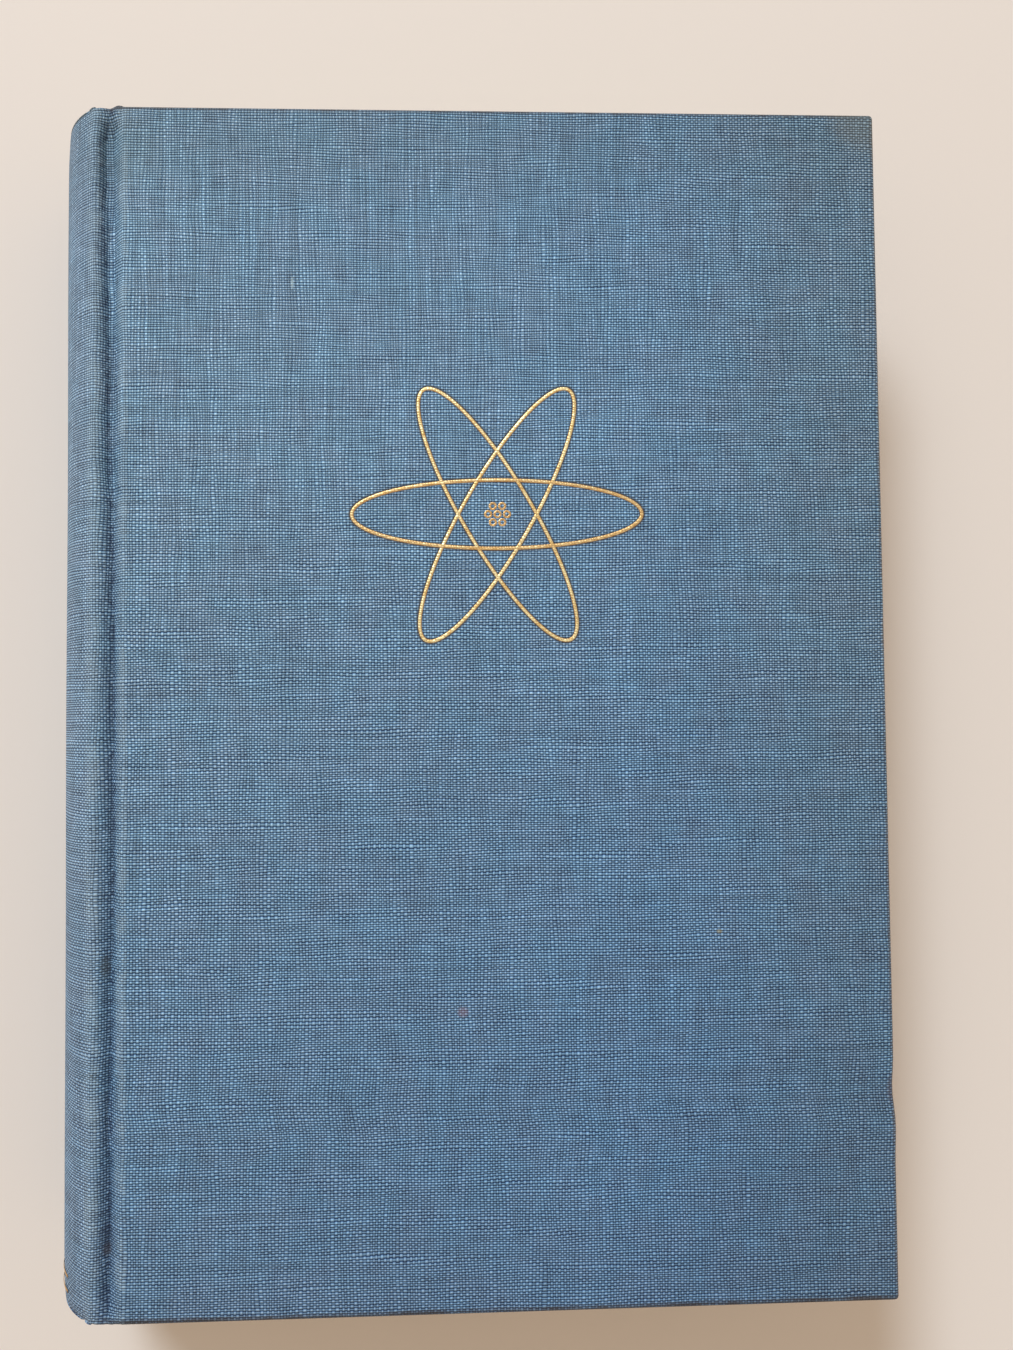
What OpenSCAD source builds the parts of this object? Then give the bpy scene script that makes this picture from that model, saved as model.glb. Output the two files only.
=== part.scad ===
// Cloth-covered hardback book with a rounded and backed spine and pressed joints.
// It lies closed on its back cover. X runs to the fore-edge, Y to the head and Z up.
// The origin is at the centre of the underside. All sizes are in millimetres.

/* [Leaves] */
// Height of the leaves, tail to head
page_h = 210; // [150:1:300]
// Width of the outer leaves, ridge to fore-edge
page_w = 140; // [100:1:220]
// Thickness of the pressed block of leaves
block_t = 27.4; // [20:0.2:40]
// Number of folded sections sewn into the block
sections = 14; // [6:1:24]
// Depth of the valley between two section folds
fold_depth = 0.3; // [0.1:0.05:0.4]
// Depth of the hollow fore-edge
fore_hollow = 7.5; // [2:0.5:9]
// Thickness of one endpaper leaf
endpaper_t = 0.2; // [0.1:0.05:0.3]

/* [Case] */
// How far the covers stand out past the leaves at head, tail and fore-edge
square_w = 3; // [1:0.5:5]
// Thickness of a cover board
board_t = 2.4; // [1.5:0.1:4]
// Thickness of the book cloth
cloth_t = 0.35; // [0.2:0.05:0.5]
// Depth of the cloth turned in over the inner faces
turn_in = 15; // [8:1:20]
// Round of the covered edges, seen in section
edge_r = 0.8; // [0.6:0.1:1.2]
// Round of the covered fore-edge corners, seen from above
corner_r = 1.2; // [0.8:0.1:3]
// Width of the joint, from the ridge line to the board
joint_w = 5.6; // [5:0.1:8]
// Slope of the board's nipped edge along the joint, in degrees
joint_slope = 45; // [40:1:65]
// Play between the closed cover and the block
seat_gap = 0.1; // [0.05:0.05:0.3]

/* [Spine] */
// Round of the spine, from the line between the ridges out to its crown
spine_round = 9.3; // [7:0.1:12]
// Depth of the ridges below the faces of the covers
ridge_drop = 0.8; // [0.5:0.1:1.2]
// Round of each ridge
ridge_r = 1.2; // [1:0.1:1.5]
// Slope of the cloth where it drops from the ridge into the joint, in degrees
flank_slope = 60; // [50:1:70]
// Round of the cloth at the bottom of the joint
valley_r = 0.5; // [0.3:0.1:0.7]
// Thickness of the card strip in the spine of the case
strip_t = 0.6; // [0.4:0.1:0.8]
// Margin between the card strip's long edges and the ridges, in degrees
strip_margin = 3.5; // [2:0.5:8]
// Hollow between the card strip and the lined block
hollow_gap = 0.55; // [0.45:0.05:1]
// Thickness of the kraft lining on the block's spine
lining_t = 0.2; // [0.1:0.05:0.3]
// Thickness of the woven mull glued over the section folds
mull_t = 0.3; // [0.2:0.05:0.4]
// Width of the mull glued to each board
mull_flap_w = 30; // [15:1:40]
// Round of the mull over each shoulder
mull_r = 0.5; // [0.4:0.1:0.8]
// Lean of the shoulders' faces, in degrees
shoulder_lean = 14; // [5:1:25]
// Round at the foot of each shoulder
foot_r = 1; // [0.5:0.1:1.5]

/* [Head and tail bands] */
// Diameter of a band's bead
bead_d = 1.9; // [1.4:0.1:2.4]
// Depth of a band's cloth tongue on the block's spine
tongue_h = 11.5; // [6:0.5:14]
// Thickness of a band's cloth tongue
tongue_t = 0.2; // [0.1:0.05:0.25]
// Half of the arc that a band covers, in degrees
band_reach = 52; // [40:1:54]

/* [Foil] */
// Distance of the cover figure's centre from the ridge line
figure_u = 72.5; // [60:0.5:85]
// Height of the cover figure's centre above the middle of the cover
figure_y = 33.5; // [0:0.5:60]
// Length of each oval
oval_l = 53; // [30:1:60]
// Width of each oval
oval_w = 13; // [8:0.5:20]
// Number of ovals, turned evenly about the centre
ovals = 3; // [2:1:4]
// Width of a foil line
line_w = 0.5; // [0.4:0.05:0.8]
// Outer diameter of each small ring at the centre
ring_d = 1.5; // [1.4:0.1:2]
// Width of a small ring's line
ring_line_w = 0.4; // [0.3:0.05:0.5]
// Distance from the middle ring to the rings around it
ring_pitch = 1.7; // [1.6:0.1:2.4]
// Number of rings around the middle ring
rings = 6; // [3:1:6]
// Depth of the foil lines pressed into the cloth
press_depth = 0.12; // [0.08:0.02:0.16]
// Thickness of the foil
foil_t = 0.06; // [0.03:0.01:0.07]
// Distance of the lower spine rule from the tail
rule_y = 2.7; // [2:0.1:8]
// Distance between the two spine rules
rule_pitch = 2.6; // [1.5:0.1:6]
// Half of the arc that a spine rule covers, in degrees
rule_reach = 36; // [10:1:45]

/* [Hidden] */
$fn = 96;
// Glue line between curved layers, and the overshoot of cutting shapes
glue = 0.02;
past = 1;
// Number of facets on a small round, on a shoulder's round, on half of the spine and along an oval
small_n = 5;
round_n = 6;
crown_n = 16;
oval_n = 64;
// Number of points on each section fold, and along the hollow fore-edge
fold_n = 6;
fore_n = 28;
// Clearance between the mull and the cloth turned in beside it
mull_play = 0.3;
// Round of the covered edges on the inner side
inner_r = 0.3;
// Width of the mitre slit in the turned-in corners
mitre_w = 0.3;
// Play beside the card strip in its pocket of cloth, in degrees
pocket_play = 0.1;
// Bevel of the cloth around the head and tail of the spine
cap_bevel = 0.4;
// Gap between the lining's ends and the block's ends
lining_play = 1;

// Levels above the middle of the book, from the leaves outwards
leaf_h = block_t / 2;
fly_h = leaf_h + endpaper_t;
paste_h = fly_h + seat_gap;
turn_h = paste_h + endpaper_t;
board_h = turn_h + cloth_t;
joint_h = board_h + cloth_t;
cover_h = board_h + board_t + cloth_t;
book_t = 2 * cover_h;
case_h = page_h + 2 * square_w;
fore_u = page_w + square_w;
open_h = case_h / 2 - turn_in;

// Spine arcs about one axis, from the cloth inwards
ridge_h = cover_h - ridge_drop;
spine_r = (ridge_h * ridge_h + spine_round * spine_round) / (2 * spine_round);
axis_u = spine_r - spine_round;
axis = [axis_u, 0];
strip_r = spine_r - cloth_t - glue;
tuck_r = strip_r - strip_t - glue;
lining_r = strip_r - strip_t - hollow_gap;
mull_out_r = lining_r - lining_t - glue;
block_r = mull_out_r - mull_t - glue;

// Ridge, flank and valley of the cloth, front half
tilt = 90 - flank_slope;
flank_n = [cos(tilt), sin(tilt)];
ridge_a = 180 - asin((ridge_h - ridge_r) / (spine_r - ridge_r));
ridge_c = axis + (spine_r - ridge_r) * [cos(ridge_a), sin(ridge_a)];
flank_top = ridge_c + ridge_r * flank_n;
flank_end_h = joint_h + valley_r * (1 - sin(tilt));
flank_end_u = flank_top.x + (flank_top.y - flank_end_h) * tan(tilt);
hinge_u = flank_end_u + valley_r * cos(tilt);
valley_c = [hinge_u, joint_h + valley_r];
strip_reach = 180 - ridge_a - strip_margin;
pocket_a = ridge_a + strip_margin - pocket_play;

// Centre and start of the mull's round over the shoulder
mull_flank = ridge_c * flank_n + ridge_r - cloth_t - glue;
mull_a = tilt + acos((mull_flank - mull_r - axis * flank_n) / (mull_out_r - mull_r));
mull_c = axis + (mull_out_r - mull_r) * [cos(mull_a), sin(mull_a)];

// Tip and face of the block's shoulder
underlay = max(cloth_t, mull_t + glue);
tip_flank = ridge_c * flank_n + ridge_r - cloth_t - underlay - endpaper_t - 2 * glue;
tip_a = tilt + acos((tip_flank - axis * flank_n) / block_r);
tip = axis + block_r * [cos(tip_a), sin(tip_a)];
shoulder = [tip.x + (tip.y - leaf_h) * tan(shoulder_lean), leaf_h];
foot_fit = 0.9 * norm(tip - shoulder) * tan((90 + shoulder_lean) / 2);
block_reach = 180 - tip_a;

// Line of the board's nipped edge
ramp_u = joint_w - (cover_h - joint_h) / tan(joint_slope);

// Place of the section in the frame
ridge_x = spine_round - (fore_u + spine_round) / 2;
middle_z = cover_h;

// Points on an arc about c, from angle a0 to angle a1
function arc(c, r, a0, a1, n) = [for (i = [0:n]) c + r * [cos(a0 + (a1 - a0) * i / n), sin(a0 + (a1 - a0) * i / n)]];
function reversed(p) = [for (i = [len(p) - 1:-1:0]) p[i]];
function flipped(p) = [for (q = p) [q.x, -q.y]];
function unit(v) = v / norm(v);
function tail_of(p) = [for (i = [1:len(p) - 1]) p[i]];

// A line that starts at the crown, continued round the other half
function whole(p) = concat(reversed(flipped(p)), tail_of(p));

// Corner b of an outline rounded between its neighbours a and c
function corner(a, b, c, r, n) =
    let (p = unit(a - b), q = unit(c - b), half = acos(p * q) / 2, centre = b + unit(p + q) * r / sin(half))
    let (s = b + p * r / tan(half) - centre, e = b + q * r / tan(half) - centre)
    let (a0 = atan2(s.y, s.x), turn = atan2(s.x * e.y - s.y * e.x, s * e))
    r > 0 ? arc(centre, r, a0, a0 + turn, n) : [b];

// Closed outline with each corner rounded by its own radius
function rounded(p, r, n = small_n) =
    [for (i = [0:len(p) - 1]) each corner(p[(i + len(p) - 1) % len(p)], p[i], p[(i + 1) % len(p)], r[i], n)];

// Case surface d below the outer face, from the strip's edge over the ridge into the joint
function ridge_line(d) = concat(
    arc(axis, spine_r - d, pocket_a, ridge_a, 2),
    arc(ridge_c, ridge_r - d, ridge_a, tilt, round_n),
    arc(valley_c, valley_r + d, 180 + tilt, 270, small_n));

// The same surface from the crown
function case_line(d) = concat(crown_line(spine_r - d), ridge_line(d));

// Arc from the crown to the strip's edge
function crown_line(r) = arc(axis, r, 180, pocket_a, crown_n);

// Mull from the crown over the shoulder into the joint, d below its outer face
function mull_line(d) = concat(
    arc(axis, mull_out_r - d, 180, mull_a, crown_n),
    arc(mull_c, mull_r - d, mull_a, tilt, round_n),
    arc(valley_c, valley_r + cloth_t + glue + d, 180 + tilt, 270, small_n));

// Face of the block from the shoulder's tip to the fore-edge, raised by d
function face_line(d) =
    let (out = [cos(shoulder_lean), sin(shoulder_lean)], low = (90 + shoulder_lean) / 2)
    let (r = min(foot_r, foot_fit) - d)
    concat(
        [tip + d * out],
        corner(tip + d * out, shoulder + [d / tan(low), d], [page_w, leaf_h + d], r, round_n),
        [[page_w, leaf_h + d]]);

// Section folds around the block's spine, from the front tip to the back tip
function fold_line() =
    let (n = sections * fold_n, step = 2 * block_reach / n)
    [for (i = [1:n - 1]) let (t = 2 * (i % fold_n) / fold_n - 1, r = block_r - fold_depth * (1 - sqrt(1 - t * t)))
        axis + r * [cos(tip_a + i * step), sin(tip_a + i * step)]];

// Hollow fore-edge from the back face to the front face
function fore_line() =
    let (r = (leaf_h * leaf_h + fore_hollow * fore_hollow) / (2 * fore_hollow), reach = asin(leaf_h / r))
    let (step = 2 * reach / fore_n)
    arc([page_w + r - fore_hollow, 0], r, 180 + reach - step, 180 - reach + step, fore_n - 2);

// An outline across the book, drawn from the ridge line and the middle, run along Y
module along(length) {
    translate([ridge_x, 0, middle_z])
        rotate([90, 0, 0])
            linear_extrude(length, center = true)
                children();
}

// The same outline at the head and at the tail, from y0 to y1
module at_ends(y0, y1) {
    for (end = [-1, 1]) {
        translate([0, end * (y0 + y1) / 2, 0])
            along(y1 - y0)
                children();
    }
}

// A section in radius and height, swung about the spine's axis by the same angle both ways
module swung(reach) {
    translate([ridge_x + axis_u, 0, middle_z])
        rotate([-90, 180 - reach, 0])
            rotate_extrude(angle = 2 * reach)
                children();
}

// A layer on the round of the spine, between two radii
module spine_layer(r_in, r_out, length, reach) {
    swung(reach)
        translate([r_in, -length / 2])
            square([r_out - r_in, length]);
}

// The same piece below the middle of the book
module back() {
    translate([0, 0, middle_z])
        mirror([0, 0, 1])
            translate([0, 0, -middle_z])
                children();
}

// A flat box on the cover, from two corners given as distance from the ridge, Y and level
module slab(low, high) {
    translate([ridge_x + low.x, low.y, middle_z + low.z])
        cube(high - low);
}

// Solid between a section along the joint and a section across it
module pressed(across, side, levels, radii) {
    intersection() {
        along(2 * side)
            polygon(across);
        translate([ridge_x, 0, middle_z])
            rotate([90, 0, 90])
                linear_extrude(fore_u)
                    polygon(rounded([[-side, levels[0]], [-side, levels[1]], [side, levels[1]],
                        [side, levels[0]]], [radii[0], radii[1], radii[1], radii[0]]));
        translate([ridge_x, 0, middle_z])
            linear_extrude(cover_h)
                polygon(rounded([[0, -side], [0, side], [fore_u - radii[2], side], [fore_u - radii[2], -side]],
                    [0, 0, corner_r - radii[2], corner_r - radii[2]]));
    }
}

module block_2d() {
    polygon(concat(
        reversed(face_line(0)),
        fold_line(),
        flipped(face_line(0)),
        fore_line()));
}

module text_block() {
    color([0.93, 0.89, 0.80])
        along(page_h)
            block_2d();
}

module flyleaf() {
    along(page_h)
        polygon(concat(face_line(0), reversed(face_line(endpaper_t))));
}

module front_flyleaf() {
    color([0.95, 0.92, 0.85])
        flyleaf();
}

module back_flyleaf() {
    color([0.95, 0.92, 0.85])
        back()
            flyleaf();
}

// Bead on the end of the block with its cloth tongue glued down the section folds
module band() {
    swung(band_reach) {
        translate([block_r + glue + tongue_t / 2 - bead_d / 2, page_h / 2 + bead_d / 2])
            circle(d = bead_d);
        translate([block_r + glue, page_h / 2 - tongue_h])
            square([tongue_t, tongue_h + bead_d / 2]);
    }
}

module headband() {
    color([0.90, 0.88, 0.82])
        band();
}

module tailband() {
    color([0.90, 0.88, 0.82])
        mirror([0, 1, 0])
            band();
}

module spine_mull() {
    color([0.88, 0.87, 0.80])
        along(2 * (open_h - mull_play))
            polygon(concat(whole(mull_line(0)), reversed(whole(mull_line(mull_t)))));
}

module spine_lining() {
    color([0.62, 0.48, 0.33])
        spine_layer(lining_r - lining_t, lining_r, page_h - 2 * lining_play, block_reach);
}

module spine_strip() {
    color([0.66, 0.60, 0.50])
        spine_layer(strip_r - strip_t, strip_r, case_h - 2 * cloth_t - 2 * glue, strip_reach);
}

// Heights of the rules across the spine's foot
function rules_y() = [for (i = [0, 1]) rule_y + i * rule_pitch - case_h / 2];

// A rule pressed into the spine between two depths below the cloth's face
module rules(depth, thickness) {
    for (y0 = rules_y()) {
        translate([0, y0, 0])
            spine_layer(spine_r - depth, spine_r - depth + thickness, line_w, rule_reach);
    }
}

// Room inside the bevelled head and tail of the spine
module capped() {
    side = case_h / 2;
    bevel_r = spine_r - cap_bevel;
    low = side - cap_bevel - past;
    swung(180 - tilt)
        polygon([[0, -side], [bevel_r, -side], [spine_r + past, -low], [spine_r + past, low], [bevel_r, side],
            [0, side]]);
}

// Cloth over the spine, turned in at both ends over the card strip and down into the joints
module spine_cloth() {
    color([0.38, 0.51, 0.62])
        difference() {
            intersection() {
                along(case_h + past)
                    polygon(concat(whole(case_line(0)),
                        reversed(whole(concat(crown_line(tuck_r - cloth_t), ridge_line(2 * cloth_t))))));
                capped();
            }
            along(case_h - 2 * cloth_t)
                polygon(concat(whole(crown_line(spine_r - cloth_t)), reversed(whole(crown_line(tuck_r)))));
            along(2 * open_h)
                polygon(concat(whole(case_line(cloth_t)), [[axis_u, board_h], [axis_u, -board_h]]));
            rules(press_depth, press_depth + past);
        }
}

module spine_rules() {
    color([0.80, 0.64, 0.28])
        rules(press_depth, foil_t);
}

// Section of the board, with its edge along the joint nipped to a slope
function board_line() =
    let (lean = [1 / sin(joint_slope), 1 / tan(joint_slope)], top = cover_h - cloth_t)
    let (low_u = ramp_u + cloth_t * lean[0] + (board_h - joint_h) * lean[1])
    let (top_u = ramp_u + cloth_t * lean[0] + (top - joint_h) * lean[1], r = edge_r - cloth_t)
    rounded([[low_u, board_h], [top_u, top], [fore_u - cloth_t, top], [fore_u - cloth_t, board_h]], [0, r, r, 0]);

// Section of the covered board, with its cloth run down into the joint
function cover_line() = rounded(
    [[hinge_u, turn_h], [hinge_u, joint_h], [ramp_u, joint_h], [joint_w, cover_h], [fore_u, cover_h],
        [fore_u, turn_h]],
    [0, 0, valley_r, edge_r, edge_r, inner_r]);

module board() {
    top = cover_h - cloth_t;
    pressed(board_line(), case_h / 2 - cloth_t, [board_h, top], [0, edge_r - cloth_t, cloth_t]);
}

module front_board() {
    color([0.60, 0.56, 0.48])
        board();
}

module back_board() {
    color([0.60, 0.56, 0.48])
        back()
            board();
}

// Cloth around the board, turned in at head, tail and fore-edge, with mitred corners
module cover_cloth() {
    difference() {
        pressed(cover_line(), case_h / 2, [turn_h, cover_h], [inner_r, edge_r, 0]);
        board();
        slab([hinge_u - past, -open_h, turn_h - past], [fore_u - turn_in, open_h, board_h]);
        for (end = [0, 1]) {
            mirror([0, end, 0])
                translate([ridge_x + fore_u - turn_in, open_h, middle_z + turn_h - past])
                    rotate([0, 0, 45])
                        translate([-mitre_w, -mitre_w / 2, 0])
                            cube([2 * turn_in, mitre_w, cloth_t + past]);
        }
    }
}

module oval_2d() {
    a = oval_l / 2;
    b = oval_w / 2;
    edge = [for (i = [0:oval_n - 1]) [a * cos(i * 360 / oval_n), b * sin(i * 360 / oval_n)]];
    inside = [for (p = edge) p - line_w * unit([p.x / (a * a), p.y / (b * b)])];
    difference() {
        polygon(edge);
        polygon(inside);
    }
}

module ring_2d() {
    difference() {
        circle(d = ring_d, $fn = 24);
        circle(d = ring_d - 2 * ring_line_w, $fn = 24);
    }
}

// Ovals crossing over a close cluster of small rings
module figure_2d() {
    for (i = [0:ovals - 1]) {
        rotate(i * 180 / ovals)
            oval_2d();
    }
    ring_2d();
    for (i = [0:rings - 1]) {
        rotate(i * 360 / rings)
            translate([ring_pitch, 0])
                ring_2d();
    }
}

module figure(depth, thickness) {
    translate([ridge_x + figure_u, figure_y, book_t - depth])
        linear_extrude(thickness)
            figure_2d();
}

module front_cloth() {
    color([0.38, 0.51, 0.62])
        difference() {
            cover_cloth();
            figure(press_depth, press_depth + past);
        }
}

module back_cloth() {
    color([0.38, 0.51, 0.62])
        back()
            cover_cloth();
}

module cover_figure() {
    color([0.80, 0.64, 0.28])
        figure(press_depth, foil_t);
}

// Flap of the spine's mull, glued under the cloth in the joint and on the board's inner face
module mull_flap() {
    half = open_h - mull_play;
    slab([hinge_u, -half, board_h - mull_t], [joint_w + mull_flap_w, half, board_h]);
}

module front_mull_flap() {
    color([0.88, 0.87, 0.80])
        mull_flap();
}

module back_mull_flap() {
    color([0.88, 0.87, 0.80])
        back()
            mull_flap();
}

// Endpaper over the turned-in cloth and the mull, let down onto the bare board between them
module pastedown() {
    u0 = joint_w + mull_flap_w + mull_play;
    u1 = fore_u - turn_in - mull_play;
    y1 = open_h - mull_play;
    skin = endpaper_t;
    difference() {
        union() {
            slab([hinge_u, -page_h / 2, paste_h], [page_w, page_h / 2, turn_h]);
            slab([u0, -y1, paste_h], [u1, y1, board_h]);
        }
        slab([u0 + skin, skin - y1, paste_h - past], [u1 - skin, y1 - skin, board_h - skin]);
    }
}

module front_pastedown() {
    color([0.95, 0.92, 0.85])
        pastedown();
}

module back_pastedown() {
    color([0.95, 0.92, 0.85])
        back()
            pastedown();
}

text_block();
front_flyleaf();
back_flyleaf();
headband();
tailband();
spine_mull();
spine_lining();
spine_strip();
spine_cloth();
spine_rules();
front_board();
front_mull_flap();
front_pastedown();
front_cloth();
cover_figure();
back_board();
back_mull_flap();
back_pastedown();
back_cloth();
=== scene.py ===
"""Looks of a cloth-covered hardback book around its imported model.

Lengths are in millimetres in this file and are turned into metres where a mesh is placed. A section of
the book is drawn in u, from the ridge line towards the fore-edge, and h, from the middle of its thickness.
"""

import math

import bpy
import numpy as np
from mathutils import Matrix, Vector


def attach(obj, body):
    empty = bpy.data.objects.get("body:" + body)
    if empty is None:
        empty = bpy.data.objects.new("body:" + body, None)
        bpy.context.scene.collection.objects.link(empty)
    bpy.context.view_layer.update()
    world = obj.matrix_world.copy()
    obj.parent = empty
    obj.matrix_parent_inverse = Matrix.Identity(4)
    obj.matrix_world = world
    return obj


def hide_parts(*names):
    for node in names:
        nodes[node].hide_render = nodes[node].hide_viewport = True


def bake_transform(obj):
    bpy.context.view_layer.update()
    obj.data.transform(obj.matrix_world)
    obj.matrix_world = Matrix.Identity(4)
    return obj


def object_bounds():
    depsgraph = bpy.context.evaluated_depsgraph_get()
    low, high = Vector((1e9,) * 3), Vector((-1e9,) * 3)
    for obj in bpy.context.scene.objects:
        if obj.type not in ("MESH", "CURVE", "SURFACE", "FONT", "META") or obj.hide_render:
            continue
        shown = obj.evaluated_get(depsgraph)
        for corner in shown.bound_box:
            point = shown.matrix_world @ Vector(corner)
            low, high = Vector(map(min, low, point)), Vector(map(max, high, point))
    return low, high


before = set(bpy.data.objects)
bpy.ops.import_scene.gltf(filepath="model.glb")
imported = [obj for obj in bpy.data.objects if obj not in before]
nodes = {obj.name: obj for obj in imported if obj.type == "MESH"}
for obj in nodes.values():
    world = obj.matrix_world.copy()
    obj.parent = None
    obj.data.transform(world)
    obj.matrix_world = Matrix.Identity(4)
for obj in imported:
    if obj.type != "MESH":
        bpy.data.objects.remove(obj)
cad_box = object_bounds()
scene = bpy.context.scene
scene.view_settings.view_transform = "Standard"

MM = 0.001

# Sizes of the book, as in the source of its part
CASE_H = 216
FORE_U = 143
PAGE_H = 210
PAGE_W = 140
OPEN_H = 93
TURN_IN = 15
CLOTH_T = 0.35
STRIP_T = 0.6
GLUE = 0.02
SPINE_ROUND = 9.3
RIDGE_H = 16.5
RIDGE_R = 1.2
VALLEY_R = 0.5
RAMP_U = 3.2
JOINT_W = 5.6
EDGE_R = 0.8
INNER_R = 0.3
PASTE_H = 14.0
TURN_H = 14.2
JOINT_H = 14.9
COVER_H = 17.3
RIDGE_X = -66.85
MIDDLE_Z = 17.3
SPINE_R = (RIDGE_H**2 + SPINE_ROUND**2) / (2 * SPINE_ROUND)
AXIS_U = SPINE_R - SPINE_ROUND
TILT = 30
RIDGE_A = 180 - math.degrees(math.asin((RIDGE_H - RIDGE_R) / (SPINE_R - RIDGE_R)))
RIDGE_C = (
    AXIS_U + (SPINE_R - RIDGE_R) * math.cos(math.radians(RIDGE_A)),
    (SPINE_R - RIDGE_R) * math.sin(math.radians(RIDGE_A)),
)
HINGE_U = 2.246
VALLEY_C = (HINGE_U, JOINT_H + VALLEY_R)
TUCK_R = SPINE_R - 2 * CLOTH_T - STRIP_T - 2 * GLUE

# Foil on the cover and on the spine
FIGURE_U = 72.5
FIGURE_Y = 33.5
OVAL_L = 53
OVAL_W = 13
LINE_W = 0.5
LINE_SPREAD = 0.1
FOIL_FLATNESS = 0.22
RING_D = 1.5
RING_LINE_W = 0.4
RING_PITCH = 1.7
OVAL_TURNS = (0, 60, 120)
RULES_Y = (2.95 - CASE_H / 2, 5.55 - CASE_H / 2)
RULE_REACH = 36

# Threads of the cloth, from one to the next
ACROSS_PITCH = 0.545
ALONG_PITCH = 0.465

# Millimetres of cloth in one unit of its texture coordinates
LIE_UNIT = 100

# Unevenness of the boards, and how far from their edges it begins
BOARD_LIFT = 0.035
FLAT_FROM = 9
FLAT_RIM = 4
FADE_W = 12

# Height at which the straight of the cloth ends and its round over head and tail begins
ROUND_FROM_Y = 106.9

# Wear that has its own place
DENT_Y = -70.5
PUCKER_U = 4.1
KNOT_U = 4.0

# Stains and small spots of the front cover, and one painted sheen: place and reach in u and y, strength and
# colour
STAINS_AND_SHEEN = (
    ((FORE_U - 1, 107), (9, 8), 0.34, (116, 116, 104)),
    # painted sheen: a paler, greener patch by the spine near the head
    ((6.0, 100.0), (7, 9), 0.12, (112, 134, 132)),
    ((65.5, -55.3), (1.3, 1.2), 0.34, (150, 104, 112)),
    ((2.9, -95.6), (1.0, 1.5), 0.60, (72, 66, 70)),
    ((2.9, -93.6), (1.9, 3.2), 0.40, (44, 58, 84)),
    ((2.4, -46.5), (1.1, 2.6), 0.55, (64, 70, 72)),
    ((FORE_U - 0.4, -70.5), (1.5, 3.4), 0.55, (84, 78, 92)),
    ((35.8, 75.6), (0.35, 1.5), 0.60, (190, 220, 236)),
    ((111.6, -41.9), (0.7, 0.5), 0.60, (150, 140, 90)),
)

# Cloth that stands proud of the CAD model's box beside the dent, at the knot and on the cover
PROUD = (0.25, 0.6, 0.05)

# Stretch of the joint over which the cloth turns with its cover; the cloth is not bent along it here
BEND_FROM_U = 1.7
BEND_TO_U = 3.4

# Fold of a pasted endpaper: its place, its radius and how thick the paper is drawn
FOLD_U = 2.45
FOLD_H = PASTE_H - 0.05
FOLD_R = 0.15
FOLD_N = 14
PAPER_T = 0.16
PAPER_PLAY = 0.05

# Light of the stage, in metres and linear colours
LAMP_AT = (-0.28, 0.68, 0.57)
LAMP_COLOUR = (0.85, 0.98, 1.09)
ROOM_COLOUR = (0.60, 0.49, 0.38)
BACKDROP_COLOUR = (0.74, 0.67, 0.60)


# Sections across the book


def arc(c, r, a0, a1, n):
    """Points on an arc in degrees, the first one left out."""
    steps = [math.radians(a0 + (a1 - a0) * i / n) for i in range(1, n + 1)]
    return [(c[0] + r * math.cos(a), c[1] + r * math.sin(a)) for a in steps]


def rounded_corner(a, b, c, r, n):
    """Corner b between a and c, rounded to radius r."""
    a, b, c = (np.array(p, float) for p in (a, b, c))
    p, q = (a - b) / np.linalg.norm(a - b), (c - b) / np.linalg.norm(c - b)
    half = math.acos(float(p @ q)) / 2
    centre = b + (p + q) / np.linalg.norm(p + q) * r / math.sin(half)
    s, e = b + p * r / math.tan(half) - centre, b + q * r / math.tan(half) - centre
    a0 = math.atan2(s[1], s[0])
    turn = math.atan2(s[0] * e[1] - s[1] * e[0], float(s @ e))
    angles = [a0 + turn * i / n for i in range(n + 1)]
    return [tuple(centre + r * np.array([math.cos(angle), math.sin(angle)])) for angle in angles]


def spread(a, b, n):
    """Points on a straight line from a to b, both left out."""
    return [(a[0] + (b[0] - a[0]) * i / n, a[1] + (b[1] - a[1]) * i / n) for i in range(1, n)]


# Points of the section along the spine, the ridge, both sides of the joint and the board
SPINE_N, RIDGE_N, FLANK_N, VALLEY_N, FLOOR_N, FOOT_N, SLOPE_N, BROW_N, TOP_N = 26, 8, 4, 4, 4, 3, 6, 5, 60
SWELL = SPINE_N + 4
CREASE = SPINE_N + RIDGE_N + FLANK_N + 2
BROW = SPINE_N + RIDGE_N + FLANK_N + VALLEY_N + FLOOR_N - 1 + FOOT_N + 1 + SLOPE_N


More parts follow.
